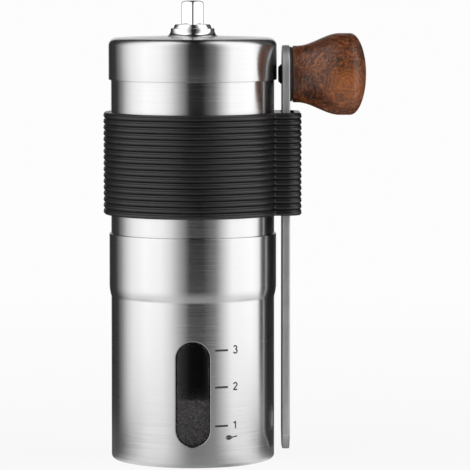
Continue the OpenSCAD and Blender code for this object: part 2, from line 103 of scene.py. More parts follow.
def fillet(corners, steps=6):
    """Corners are (x, y, radius) round a closed outline, which comes back with each one rounded."""
    outline = []
    for i, (x, y, radius) in enumerate(corners):
        here = Vector((x, y))
        back = Vector(corners[i - 1][:2]) - here
        ahead = Vector(corners[(i + 1) % len(corners)][:2]) - here
        if radius <= 0:
            outline.append(here)
            continue
        half = back.angle(ahead) / 2
        reach = min(radius / math.tan(half), 0.49 * back.length, 0.49 * ahead.length)
        radius = reach * math.tan(half)
        inward = (back.normalized() + ahead.normalized()).normalized()
        centre = here + inward * radius / math.sin(half)
        start = here + back.normalized() * reach - centre
        sweep = math.pi - 2 * half
        if back.cross(ahead) > 0:
            sweep = -sweep
        for k in range(steps + 1):
            angle = sweep * k / steps
            turned = Vector((start.x * math.cos(angle) - start.y * math.sin(angle),
                             start.x * math.sin(angle) + start.y * math.cos(angle)))
            outline.append(centre + turned)
    return [tuple(p) for p in outline]


def rings_to_mesh(rings, closed):
    """Quads between rings of points; a ring of one point is a pole."""
    vertices, faces, index = [], [], []
    for ring in rings:
        index.append(list(range(len(vertices), len(vertices) + len(ring))))
        vertices.extend(ring)
    for one, two in zip(index, index[1:] + ([index[0]] if closed else [])):
        for k in range(max(len(one), len(two))):
            n = k + 1
            corners = [one[k % len(one)], one[n % len(one)], two[n % len(two)], two[k % len(two)]]
            corners = list(dict.fromkeys(corners))
            if len(corners) > 2:
                faces.append(corners)
    return vertices, faces


def arc(x, y, radius, start, end, steps=8):
    """Points of an arc, with its angles in degrees."""
    angles = [math.radians(start + (end - start) * k / steps) for k in range(steps + 1)]
    return [(x + radius * math.cos(a), y + radius * math.sin(a)) for a in angles]


def turned(profile, segments=SEGMENTS, closed=True):
    """A profile of (radius, height) turned about the Z axis."""
    rings = []
    for radius, height in profile:
        circle = arc(0, 0, radius, -90, 270, segments)[:-1]
        rings.append([(x, y, height) for x, y in circle] if radius else [(0, 0, height)])
    return rings_to_mesh(rings, closed)


def turned_about_x(profile, centre_z, segments=160, closed=True):
    """A profile of (radius, x) turned about the knob's axis."""
    vertices, faces = turned(profile, segments, closed)
    return [(z, x, centre_z + y) for x, y, z in vertices], faces


def taken_from(work):
    """The vertices and faces of a bmesh, which is then freed."""
    work.verts.index_update()
    taken = [v.co.copy() for v in work.verts], [[v.index for v in f.verts] for f in work.faces]
    work.free()
    return taken


def joined(*parts):
    vertices, faces = [], []
    for more_vertices, more_faces in parts:
        offset = len(vertices)
        vertices.extend(more_vertices)
        faces.extend([i + offset for i in face] for face in more_faces)
    return vertices, faces


# ---------- shader nodes


def add(tree, kind, inputs=None, **settings):
    """A new node, whose inputs are given as values or as the output sockets that feed them."""
    node = tree.nodes.new(kind)
    for key, value in settings.items():
        setattr(node, key, value)
    for key, value in (inputs or {}).items():
        if isinstance(value, bpy.types.NodeSocket):
            tree.links.new(value, node.inputs[key])
        else:
            node.inputs[key].default_value = value
    return node


def surface(name, **inputs):
    """A new material, with its Principled inputs set on their own sockets."""
    material = bpy.data.materials.new(name)
    material.use_nodes = True
    shader = material.node_tree.nodes["Principled BSDF"]
    for key, value in inputs.items():
        shader.inputs[key.replace("_", " ")].default_value = value
    return material, material.node_tree, shader


def math_node(tree, operation, first, second=0.0):
    return add(tree, "ShaderNodeMath", {0: first, 1: second}, operation=operation).outputs[0]


def mean(tree, one, two, weight):
    """The weighted mean of two values; weight is the share of the first."""
    return math_node(tree, "ADD", math_node(tree, "MULTIPLY", one, weight),
                     math_node(tree, "MULTIPLY", two, 1 - weight))


def object_point(tree):
    return add(tree, "ShaderNodeTexCoord").outputs["Object"]


def scaled(tree, vector, factors):
    return add(tree, "ShaderNodeVectorMath", {0: vector, 1: factors}, operation="MULTIPLY").outputs[0]


def length_of(tree, vector):
    return add(tree, "ShaderNodeVectorMath", {0: vector}, operation="LENGTH").outputs["Value"]


def grain(tree, vector, scale, detail=4.0, roughness=0.55):
    return add(tree, "ShaderNodeTexNoise", {"Vector": vector, "Scale": scale, "Detail": detail,
                                            "Roughness": roughness}).outputs[0]


def remap(tree, value, from_low, from_high, to_low=0.0, to_high=1.0, smooth=False):
    return add(tree, "ShaderNodeMapRange",
               {"Value": value, "From Min": from_low, "From Max": from_high,
                "To Min": to_low, "To Max": to_high},
               interpolation_type="SMOOTHSTEP" if smooth else "LINEAR").outputs[0]


def ramp(tree, value, stops):
    """A colour ramp through (place, colour) stops."""
    node = add(tree, "ShaderNodeValToRGB", {"Fac": value})
    elements = node.color_ramp.elements
    while len(elements) < len(stops):
        elements.new(0.5)
    for element, (place, colour) in zip(elements, stops):
        element.position = place
        element.color = (*colour, 1)
    return node.outputs["Color"]


def mixed(tree, factor, one, two, blend="MIX"):
    node = add(tree, "ShaderNodeMix", data_type="RGBA", blend_type=blend)
    for key, value in ((0, factor), (6, one), (7, two)):
        if isinstance(value, bpy.types.NodeSocket):
            tree.links.new(value, node.inputs[key])
        elif key == 0:
            node.inputs[key].default_value = value
        else:
            node.inputs[key].default_value = (*value, 1)
    return node.outputs[2]


def bump(tree, shader, height, distance, strength=1.0):
    node = add(tree, "ShaderNodeBump", {"Height": height, "Distance": distance, "Strength": strength})
    tree.links.new(node.outputs[0], shader.inputs["Normal"])


def feed(tree, shader, **sockets):
    for key, value in sockets.items():
        tree.links.new(value, shader.inputs[key.replace("_", " ")])


# ---------- materials


def turned_point(tree):
    """A point in which streaks run round the Z axis. It changes in proportion to the angle round
    the axis, at any radius, and with height plus radius, so that flat faces get circles."""
    nominal_radius = 26 * MM
    point = add(tree, "ShaderNodeSeparateXYZ", {0: object_point(tree)})
    flat = add(tree, "ShaderNodeCombineXYZ", {0: point.outputs[0], 1: point.outputs[1]}).outputs[0]
    around = add(tree, "ShaderNodeVectorMath", {0: flat}, operation="NORMALIZE").outputs[0]
    round_part = scaled(tree, around, (nominal_radius, nominal_radius, 0))
    height = math_node(tree, "ADD", point.outputs[2], length_of(tree, flat))
    split = add(tree, "ShaderNodeSeparateXYZ", {0: round_part})
    return add(tree, "ShaderNodeCombineXYZ",
               {0: split.outputs[0], 1: split.outputs[1], 2: height}).outputs[0]


def paint(tree, shader, cloud, fine, dark, light, roughness, relief=None):
    """Colour varies with one noise, roughness and relief with another, which may be the same.
    The relief is its depth in mm and its strength."""
    feed(tree, shader, Base_Color=ramp(tree, cloud, [(0.3, dark), (0.7, light)]),
         Roughness=remap(tree, fine, 0.3, 0.7, *roughness))
    if relief:
        bump(tree, shader, fine, relief[0] * MM, relief[1])


def brushed_steel():
    """Stainless steel with fine brush lines round the body."""
    material, tree, shader = surface("brushed_body_steel", Metallic=1.0, Anisotropic=0.95,
                                     Anisotropic_Rotation=0.25)
    tangent = add(tree, "ShaderNodeTangent", direction_type="RADIAL", axis="Z")
    feed(tree, shader, Tangent=tangent.outputs[0])
    point = turned_point(tree)
    fine = grain(tree, scaled(tree, point, (60, 60, 9000)), 1.0, 3.0)
    coarse = grain(tree, scaled(tree, point, (36, 36, 2600)), 1.0, 4.0, 0.65)
    both = mean(tree, fine, coarse, 0.5)
    feed(tree, shader,
         Base_Color=ramp(tree, both, [(0.3, (0.58, 0.58, 0.585)), (0.7, (0.65, 0.65, 0.655))]),
         Roughness=remap(tree, both, 0.32, 0.68, 0.14, 0.29))
    bump(tree, shader, fine, 0.004 * MM, 0.3)
    return material


def satin_steel():
    """Tumbled steel of the crank's arm."""
    material, tree, shader = surface("satin_arm_steel", Metallic=1.0)
    point = object_point(tree)
    cloud = grain(tree, scaled(tree, point, (500, 500, 160)), 1.0, 5.0, 0.6)
    speck = grain(tree, point, 5200, 3.0, 0.6)
    paint(tree, shader, cloud, speck, (0.48, 0.48, 0.485), (0.6, 0.6, 0.605), (0.46, 0.6), (0.02, 0.5))
    return material


def chrome():
    """Polished plating with faint wear."""
    material, tree, shader = surface("polished_chrome", Metallic=1.0)
    point = object_point(tree)
    haze = grain(tree, point, 420, 5.0, 0.65)
    feed(tree, shader,
         Base_Color=ramp(tree, haze, [(0.3, (0.78, 0.78, 0.79)), (0.7, (0.86, 0.86, 0.87))]),
         Roughness=remap(tree, haze, 0.35, 0.75, 0.05, 0.13))
    bump(tree, shader, haze, 0.01 * MM, 0.3)
    return material


def silicone():
    """Matt black silicone rubber with a little dust in it."""
    material, tree, shader = surface("black_silicone", IOR=1.5)
    point = object_point(tree)
    cloud = grain(tree, point, 160, 5.0, 0.6)
    dust = grain(tree, point, 3200, 2.0, 0.5)
    specks = remap(tree, dust, 0.72, 0.8)
    base = ramp(tree, cloud, [(0.3, (0.008, 0.008, 0.0082)), (0.75, (0.013, 0.013, 0.0133))])
    feed(tree, shader,
         Base_Color=mixed(tree, specks, base, (0.06, 0.058, 0.055)),
         Roughness=remap(tree, cloud, 0.3, 0.7, 0.27, 0.36))
    bump(tree, shader, dust, 0.02 * MM, 0.6)
    return material


def black_plastic():
    """Moulded black plastic with a fine spark-eroded texture."""
    material, tree, shader = surface("moulded_black_plastic", IOR=1.47)
    point = object_point(tree)
    paint(tree, shader, grain(tree, point, 120), grain(tree, point, 2600, 3.0, 0.6),
          (0.016, 0.016, 0.017), (0.026, 0.026, 0.027), (0.34, 0.5), (0.03, 0.5))
    return material


def ceramic():
    """Unglazed white ceramic, browned a little by coffee oil."""
    material, tree, shader = surface("burr_ceramic", IOR=1.55)
    point = object_point(tree)
    stain = grain(tree, point, 190, 5.0, 0.6)
    speck = grain(tree, point, 2400, 3.0)
    clean = ramp(tree, speck, [(0.3, (0.74, 0.72, 0.67)), (0.7, (0.84, 0.82, 0.78))])
    feed(tree, shader,
         Base_Color=mixed(tree, remap(tree, stain, 0.55, 0.8, 0.0, 0.5), clean, (0.45, 0.3, 0.17)),
         Roughness=remap(tree, speck, 0.3, 0.7, 0.42, 0.6))
    bump(tree, shader, speck, 0.03 * MM, 0.6)
    return material


def cloudy(name, texture, *looks, **inputs):
    """A material that one cloud varies, given as (scale, detail). The looks are those of paint()."""
    material, tree, shader = surface(name, **inputs)
    cloud = grain(tree, object_point(tree), *texture)
    paint(tree, shader, cloud, cloud, *looks)
    return material


def machined(name, lines_per_metre, *looks):
    """Metal with fine turning lines round the Z axis. The looks are those of paint()."""
    material, tree, shader = surface(name, Metallic=1.0)
    lines = grain(tree, scaled(tree, turned_point(tree), (60, 60, lines_per_metre)), 1.0, 3.0)
    paint(tree, shader, lines, lines, *looks, (0.01, 0.4))
    return material


def coffee():
    """Ground coffee: each grain has its own shade of brown."""
    material, tree, shader = surface("ground_coffee", IOR=1.4)
    point = object_point(tree)
    cells = add(tree, "ShaderNodeTexVoronoi", {"Vector": point, "Scale": 1700.0})
    shade = add(tree, "ShaderNodeSeparateColor", {0: cells.outputs["Color"]}).outputs[0]
    fine = grain(tree, point, 3800, 4.0)
    grains = ramp(tree, shade, [(0.0, (0.15, 0.132, 0.127)), (0.6, (0.36, 0.33, 0.32)),
                                (0.85, (0.53, 0.49, 0.48)), (1.0, (0.85, 0.8, 0.78))])
    feed(tree, shader,
         Base_Color=mixed(tree, remap(tree, fine, 0.3, 0.7, 0.0, 0.35), grains, (0.25, 0.222, 0.214)),
         Roughness=remap(tree, fine, 0.3, 0.7, 0.55, 0.85))
    bump(tree, shader, cells.outputs["Distance"], 0.25 * MM, 0.7)
    return material


def wood(pith):
    """Stained hardwood. The pith is the place in the XZ plane that the growth rings run round, and the
    middle of a painted orange highlight.
    """
    material, tree, shader = surface("stained_wood", IOR=1.45, Coat_Weight=0.15, Coat_Roughness=0.2)
    point = object_point(tree)

    def plus(one, two):
        return add(tree, "ShaderNodeVectorMath", {0: one, 1: two}, operation="ADD").outputs[0]

    moved = plus(point, (-pith[0], 0, -pith[1]))
    warp = add(tree, "ShaderNodeTexNoise", {"Vector": scaled(tree, moved, (1, 0.35, 1)), "Scale": 210.0,
                                            "Detail": 3.0}).outputs["Color"]
    centred = plus(warp, (-0.5, -0.5, -0.5))
    bent = plus(moved, scaled(tree, centred, (6 * MM, 2 * MM, 6 * MM)))
    split = add(tree, "ShaderNodeSeparateXYZ", {0: bent})
    across = add(tree, "ShaderNodeCombineXYZ", {0: split.outputs[0], 2: split.outputs[2]}).outputs[0]
    distance = length_of(tree, across)
    turn = math_node(tree, "ARCTAN2", split.outputs[2], split.outputs[0])

    def flecks(outward, round_pith, along, detail):
        """Short marks that follow the rings: values are how fast they change each way."""
        place = add(tree, "ShaderNodeCombineXYZ", {
            0: math_node(tree, "MULTIPLY", distance, outward),
            1: math_node(tree, "MULTIPLY", turn, round_pith),
            2: math_node(tree, "MULTIPLY", split.outputs[1], along)}).outputs[0]
        return grain(tree, place, 1.0, detail, 0.6)

    ring_gap = 1.3 * MM
    wave = math_node(tree, "SINE", math_node(tree, "MULTIPLY", distance, TURN / ring_gap))
    rings = remap(tree, wave, -1.0, 1.0)
    fibre = flecks(2200, 9, 300, 4.0)
    pores = flecks(3000, 22, 900, 2.0)
    light_marks = flecks(1900, 7, 500, 2.0)
    cloud = grain(tree, moved, 170, 4.0, 0.6)
    tone = mean(tree, fibre, cloud, 0.6)
    base = ramp(tree, tone, [(0.38, (0.02, 0.006, 0.003)), (0.46, (0.08, 0.021, 0.006)),
                             (0.53, (0.18, 0.047, 0.01)), (0.63, (0.42, 0.125, 0.026))])
    # Painted highlight: an orange glow round the pith, strongest at its middle and gone 9 mm out.
    painted_highlight_weight = remap(tree, distance, 1 * MM, 9 * MM, 0.78, 0.0, smooth=True)
    highlighted = mixed(tree, painted_highlight_weight, base, (0.5, 0.135, 0.018))
    ringed = mixed(tree, math_node(tree, "MULTIPLY", rings, 0.4), highlighted, (0.024, 0.008, 0.004))
    lit = mixed(tree, remap(tree, light_marks, 0.62, 0.72, 0.0, 0.55), ringed, (0.42, 0.2, 0.1))
    spotted = mixed(tree, remap(tree, pores, 0.55, 0.64, 0.0, 0.8), lit, (0.018, 0.007, 0.004))
    feed(tree, shader, Base_Color=spotted, Roughness=remap(tree, fibre, 0.3, 0.7, 0.36, 0.5))
    relief = math_node(tree, "SUBTRACT", fibre, remap(tree, pores, 0.55, 0.64))
    bump(tree, shader, relief, 0.05 * MM, 0.5)
    return material


knob_axis_z = (low("knob").z + high("knob").z) / 2
knob_start, knob_end = low("knob").x, high("knob_plug").x
materials = {
    "body_steel": brushed_steel(),
    "arm_steel": satin_steel(),
    "chrome": chrome(),
    "fastener_steel": machined("turned_steel", 4200, (0.45, 0.45, 0.46), (0.62, 0.62, 0.63),
                               (0.22, 0.38)),
    "silicone": silicone(),
    "black_plastic": black_plastic(),
    "bush_plastic": cloudy("ivory_acetal", (260, 4.0), (0.66, 0.63, 0.55), (0.76, 0.73, 0.66),
                           (0.3, 0.42), (0.02, 0.3), IOR=1.48),
    "smoke_window": cloudy("smoked_window", (300, 4.0), (0.004, 0.004, 0.0045), (0.007, 0.007, 0.0075),
                           (0.05, 0.1), IOR=1.8, Alpha=0.38),
    "burr_ceramic": ceramic(),
    "brass": machined("turned_brass", 4000, (0.55, 0.38, 0.15), (0.76, 0.57, 0.27), (0.2, 0.36)),
    "black_screw": cloudy("black_oxide", (900, 4.0), (0.012, 0.012, 0.013), (0.03, 0.03, 0.032),
                          (0.3, 0.45), (0.01, 0.4), Metallic=0.6),
    "knob_wood": wood((knob_start + 15.4 * MM, knob_axis_z - 2.9 * MM)),
}
grounds_material = coffee()
marking_material = cloudy("etched_marking", (2400, 3.0), (0.03, 0.03, 0.032), (0.06, 0.06, 0.062),
                          (0.45, 0.6), Metallic=0.3)


# ---------- carried-over CAD nodes

slot_of = {part["node"]: part["material_slot"] for part in frame["record"]["subparts"]}
for node, cad_object in frame["nodes"].items():
    cad_object.data.materials.clear()
    cad_object.data.materials.append(materials[slot_of[node]])


# ---------- hopper tube and lid


def hopper_tube():
    radius, bottom, top = high("hopper_tube").x, low("hopper_tube").z, high("hopper_tube").z
    edge = 0.1 * MM
    profile = fillet([(radius, bottom, edge), (radius, top, edge), (radius - WALL, top, 2 * edge),
                      (radius - WALL, bottom, edge)], 3)
    piece("hopper_tube_shell", turned(profile), "hopper", "body_steel", ["hopper_tube"])


def lid_shell():
    """Deep drawn lid with a rounded shoulder and a slightly domed top."""
    radius, rim, top = high("lid_shell").x, low("lid_shell").z, high("lid_shell").z
    hole, shoulder, dome, edge = 6.3 * MM, 2.2 * MM, 0.4 * MM, 0.12 * MM
    shoulder_top = top - dome

    def crown(r):
        share = (r - hole) / (radius - shoulder - hole)
        return top - dome * share * share * (1.5 - 0.5 * share)

    radii = [radius - shoulder - (radius - shoulder - hole) * k / 14 for k in range(1, 15)]
    outer = arc(radius - shoulder, shoulder_top - shoulder, shoulder, 0, 90, 14)
    outer += [(r, crown(r)) for r in radii]
    inner = [(r, crown(r) - WALL) for r in reversed(radii)]
    inner += arc(radius - shoulder, shoulder_top - shoulder, shoulder - WALL, 90, 0, 8)
    profile = [(radius - edge, rim), (radius - 0.3 * edge, rim + 0.3 * edge), (radius, rim + edge)]
    profile += outer + inner + [(radius - WALL, rim + edge), (radius - WALL + edge, rim)]
    piece("lid_cap", turned(profile), "lid", "body_steel", ["lid_shell"])


def lid_boss():
    """Chromed guide ring: a thin flange on the lid, with a concave neck up to its lip."""
    bottom, top, flange = low("lid_boss").z, high("lid_boss").z, high("lid_boss").x
    bore, barrel, edge, clearance = 5.55 * MM, 6.25 * MM, 0.1 * MM, 0.05 * MM
    neck_r, curve_r, lip_edge, bore_edge = 6.3 * MM, 1.75 * MM, 0.28 * MM, 0.25 * MM
    flange_t, flange_edge = 0.2 * MM, 0.07 * MM
    on_lid = high("lid_shell").z + clearance
    neck = arc(neck_r + curve_r, on_lid + curve_r, curve_r, -119, -180, 10)
    profile = fillet([(bore, bottom, edge), (barrel, bottom, edge), (barrel, on_lid, 0),
                      (flange, on_lid, flange_edge), (flange, on_lid + flange_t, flange_edge)], 3)
    profile += neck + fillet([(neck_r, on_lid + curve_r + clearance, 0), (neck_r, top, lip_edge),
                              (bore, top, bore_edge), (bore, on_lid, 0)], 4)
    piece("lid_guide_ring", turned(profile), "lid", "chrome", ["lid_boss"])


# ---------- shaft head with its post


def shaft_head():
    """Journal and collar that turn into a five-sided post with rounded edges and a domed tip."""
    bottom, top, journal = low("shaft_head").z, high("shaft_head").z, high("shaft_head").x
    bore_r, bore_top, edge = 3 * MM, bottom + 4.6 * MM, 0.12 * MM
    collar_z, collar_h, collar_r = top - 6.9 * MM, 0.95 * MM, 5.05 * MM
    corner_r, blend = 3.54 * MM, 10        # the post's corners, sharper with a higher blend
    foot_base_r, foot_r, foot_curve, foot_h = 3.7 * MM, 3.62 * MM, 0.85 * MM, 0.9 * MM
    post_z = collar_z + 0.95 * MM
    dome_r, dome_h = 3.4 * MM, 1.15 * MM
    beyond = 5 * MM                        # a limit that no ring of the post reaches
    flat_r = corner_r * math.cos(math.pi / 5)
    angles = [FRONT + TURN * k / 320 for k in range(320)]

    def pentagon(angle):
        """Distance to the five flats, blended round each corner."""
        faces = (FRONT + math.pi / 5 + TURN * k / 5 for k in range(5))
        total = sum(max(0.0, math.cos(angle - face)) ** blend for face in faces)
        return flat_r * total ** (-1 / blend)

    def post_ring(z, limit, foot):
        points = []
        for angle in angles:
            radius = pentagon(angle)
            radius = (radius ** -24 + limit ** -24) ** (-1 / 24)
            radius = max(radius, foot)
            points.append((radius * math.cos(angle), radius * math.sin(angle), z))
        return points

    def round_ring(radius, z):
        return [(radius * math.cos(angle), radius * math.sin(angle), z) for angle in angles]

    profile = fillet([(bore_r, bore_top, 0), (bore_r, bottom, 0.1 * MM), (journal, bottom, 0.2 * MM),
                      (journal, collar_z - collar_h, 2 * edge), (collar_r, collar_z, 2 * edge),
                      (foot_base_r, collar_z, 0)], 5)
    rings = [[(0, 0, bore_top)]] + [round_ring(r, z) for r, z in profile]
    for k in range(7):
        angle = math.pi / 2 * k / 6
        foot_z = collar_z + 0.02 * MM + foot_h * (1 - math.cos(angle))
        rings.append(post_ring(foot_z, beyond, foot_r - foot_curve * math.sin(angle)))
    for k in range(1, 9):
        rings.append(post_ring(post_z + (top - dome_h - post_z) * k / 8, beyond, 0))
    for k in range(1, 15):
        angle = math.pi / 2 * k / 15
        limit = 0.05 * MM + dome_r * math.cos(angle) ** 0.62
        rings.append(post_ring(top - dome_h + dome_h * math.sin(angle), limit, 0))
    rings.append([(0, 0, top)])
    piece("drive_post", rings_to_mesh(rings, False), "shaft", "chrome", ["shaft_head"])


# ---------- grounds cup

PANE_MARGIN = 1.4 * MM                    # how far the pane reaches behind the steel
window_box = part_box("window_pane")
slot_w = window_box[1].x - window_box[0].x - 2 * PANE_MARGIN
slot_h = window_box[1].z - window_box[0].z - 2 * PANE_MARGIN
slot_z = (window_box[0].z + window_box[1].z) / 2
cup_r = high("hopper_tube").x             # the lower cup has the tube's diameter
cup_collar_r = high("cup_shell").x


def slot_point(u, v, offset):
    """The point of the slot's outline, grown by offset, towards (u, v) from its centre line."""
    straight = (slot_h - slot_w) / 2
    centre = max(-straight, min(straight, v))
    direction = Vector((u, v - centre)).normalized()
    reach = slot_w / 2 + offset
    return direction.x * reach, centre + direction.y * reach


def on_front(u, v, radius):
    """The point at (u, v) of the slot's plane, pressed onto the cup's front."""
    return u, -math.sqrt(radius * radius - u * u), slot_z + v


def slot_patch(levels, columns):
    """The stretch of wall that holds the slot, outside and inside, with the slot's rounded edge."""
    slot_edge, inner_r = 0.22 * MM, cup_r - WALL
    steps = [TURN * (k - columns) / SEGMENTS for k in range(2 * columns + 1)]
    border = [(a, levels[0]) for a in steps]
    border += [(steps[-1], z) for z in levels[1:]]
    border += [(a, levels[-1]) for a in reversed(steps[:-1])]
    border += [(steps[0], z) for z in reversed(levels[1:-1])]

    def ring(share, radius, offset, depth=0.0):
        """A ring from the patch's border, at share 0, to the slot's outline, at share 1."""
        points = []
        for angle, z in border:
            u, v = radius * math.sin(angle), z - slot_z
            to_u, to_v = slot_point(u, v, offset)
            points.append(on_front(u + (to_u - u) * share, v + (to_v - v) * share, radius - depth))
        return points

    rings = [ring(k / 6, cup_r, 0.35 * MM) for k in range(7)]
    rings += [ring(1, cup_r, slot_edge * (1 - math.sin(math.radians(15 * k))),
                   slot_edge * (1 - math.cos(math.radians(15 * k)))) for k in range(7)]
    rings += [ring(1, cup_r, 0, WALL - slot_edge / 2)]
    rings += [ring(1 - k / 4, inner_r, slot_edge / 2) for k in range(5)]
    return rings_to_mesh(rings, False)


def cup_shell():
    """Drawn cup with a rounded base, a swage up to the collar, a rolled mouth and the window slot."""
    mouth = high("cup_shell").z
    swage_low, swage_high = 47.1 * MM, 50.6 * MM
    base_fillet, lip = 1.2 * MM, 0.2 * MM
    margin, columns, rows = 2.1 * MM, 12, 44         # of the patch of wall round the slot
    step_out, step_up = cup_collar_r - cup_r, swage_high - swage_low
    swage_r = (step_out ** 2 + step_up ** 2) / (2 * step_out)
    swage_turn = math.degrees(math.asin(step_up / swage_r))
    patch_low = slot_z - slot_h / 2 - margin
    patch_high = slot_z + slot_h / 2 + margin
    levels = [patch_low + (patch_high - patch_low) * k / rows for k in range(rows + 1)]

    def wall(radius, base):
        """Base and wall up to the mouth, of the outer or the inner face."""
        shift = cup_r - radius
        rise = arc(cup_r - base_fillet, base_fillet, base_fillet - shift, -90, 0, 10)
        bend = arc(cup_collar_r - swage_r - shift, swage_high, swage_r, -swage_turn, 0, 12)
        return [(rise[0][0] * share, base) for share in (0, 0.35, 0.8)] + rise, bend

    outer_low, outer_bend = wall(cup_r, 0)
    inner_low, inner_bend = wall(cup_r - WALL, WALL)
    near_swage = [(cup_r, swage_low - 0.25 * MM)]
    outer = outer_low + [(cup_r, z) for z in levels] + near_swage + outer_bend
    outer += [(cup_collar_r, mouth - 1.2 * MM)] + arc(cup_collar_r - lip, mouth - lip, lip, 0, 90, 4)
    inner = inner_low + [(cup_r - WALL, z) for z in levels] + inner_bend
    inner += [(cup_collar_r - WALL, mouth - lip), (cup_collar_r - WALL + 0.6 * lip, mouth)]
    profile = outer + inner[::-1]
    vertices, faces = turned(profile, closed=False)

    def inside_patch(face):
        """True for a face of the wall that the slot's own patch takes the place of."""
        x, y, z = (sum(vertices[i][axis] for i in face) / len(face) for axis in range(3))
        return (abs(math.atan2(x, -y)) < TURN * columns / SEGMENTS and patch_low < z < patch_high
                and math.hypot(x, y) > cup_r - 2 * WALL)

    faces = [face for face in faces if not inside_patch(face)]
    shell = joined((vertices, faces), slot_patch(levels, columns))
    piece("cup_body", shell, "cup", "body_steel", ["cup_shell"])


def window_pane():
    """The pane: a curved obround with a rounded rim, a little behind the steel."""
    front_r = cup_r - 0.14 * MM
    step_r, flange_r, back_r = 22.6 * MM, 22.85 * MM, 21.75 * MM
    gap, rim = 0.3 * MM, 0.3 * MM
    straight = (slot_h - slot_w) / 2
    outline = []
    for side in (1, -1):
        outline += [(side * slot_w, straight * side * (k / 6 - 1)) for k in range(12)]
        outline += [(side * u, side * v) for u, v in arc(0, straight, slot_w, 0, 180, 48)[1:-1]]
    ordered = sorted(outline, key=lambda p: math.atan2(p[1] * slot_w / slot_h, p[0]))

    def ring(offset, radius, share=1.0):
        points = []
        for u, v in ordered:
            su, sv = slot_point(u, v, offset)
            centre = max(-straight, min(straight, v))
            points.append(on_front(su * share, centre + (sv - centre) * share, radius))
        return points

    rings = [ring(-gap - rim, front_r, share) for share in (0.02, 0.25, 0.5, 0.75, 1.0)]
    rings += [ring(-gap - rim * (1 - math.sin(math.radians(15 * k))),
                   front_r - rim * (1 - math.cos(math.radians(15 * k)))) for k in range(1, 7)]
    rings += [ring(-gap, step_r), ring(PANE_MARGIN, flange_r), ring(PANE_MARGIN, back_r)]
    rings += [ring(1.0 * MM, back_r, share) for share in (0.8, 0.4, 0.02)]
    vertices, faces = rings_to_mesh(rings, False)
    count = len(ordered)
    faces.append(list(range(count)))
    faces.append(list(range(len(vertices) - count, len(vertices))))
    piece("window_lens", (vertices, faces), "cup", "smoke_window", ["window_pane"])


def on_cup(u, z, lift=0.012 * MM):
    """A point of the scale, u to the right of the window's centre line along the cup's surface."""
    angle = FRONT + u / cup_r
    return (cup_r + lift) * math.cos(angle), (cup_r + lift) * math.sin(angle), z


def stroke(points, width):
    """A flat line of even width through (u, z) points, laid on the cup."""
    vertices, faces = [], []
    dense = []
    for a, b in zip(points, points[1:]):
        steps = max(1, int(math.dist(a, b) / (0.25 * MM)))
        dense += [(a[0] + (b[0] - a[0]) * k / steps, a[1] + (b[1] - a[1]) * k / steps)
                  for k in range(steps)]
    dense.append(points[-1])
    for k, here in enumerate(dense):
        back, ahead = dense[max(0, k - 1)], dense[min(len(dense) - 1, k + 1)]
        along = Vector((ahead[0] - back[0], ahead[1] - back[1])).normalized()
        side = Vector((-along.y, along.x)) * width / 2
        vertices += [on_cup(here[0] + side.x, here[1] + side.y),
                     on_cup(here[0] - side.x, here[1] - side.y)]
        if k:
            faces.append([2 * k - 2, 2 * k - 1, 2 * k + 1, 2 * k])
    return vertices, faces


def volume_scale():
    """Three graduations with their figures, and a small spoon as the unit."""
    figure_h, figure_w, figure_x, figure_line = 2.05 * MM, 2.2 * MM, 12.6 * MM, 0.4 * MM
    mark_start, mark_end, mark_line = 6.35 * MM, 10.25 * MM, 0.58 * MM
    levels = [12 * MM, 23.05 * MM, 33.55 * MM]
    one = [(-0.24, 0.26), (0.04, 0.5), (0.04, -0.5)]
    two = arc(0, 0.24, 0.26, 170, -30, 14) + [(-0.27, -0.47), (0.3, -0.47)]
    three = arc(0, 0.27, 0.23, 160, -80, 14) + arc(0, -0.25, 0.27, 80, -165, 16)
    parts = []
    for z, figure in zip(levels, (one, two, three)):
        parts.append(stroke([(mark_start, z), (mark_end, z)], mark_line))
        placed = [(figure_x + x * figure_w, z + 0.1 * MM + y * figure_h) for x, y in figure]
        parts.append(stroke(placed, figure_line))
    spoon_x, spoon_z, bowl_w, bowl_h = 10.55 * MM, levels[0] - 3.4 * MM, 0.85 * MM, 0.55 * MM
    for share in (1, 0.62, 0.25):          # rings that fill the bowl
        bowl = [(spoon_x + bowl_w * share * u, spoon_z + bowl_h * share * v)
                for u, v in arc(0, 0, 1, 0, 360, 28)]
        parts.append(stroke(bowl, 0.24 * MM))
    parts.append(stroke([(spoon_x + bowl_w, spoon_z), (13.2 * MM, spoon_z + 0.3 * MM)], 0.36 * MM))
    piece("volume_scale", joined(*parts), "cup", "black_plastic", (), marking_material, 180)


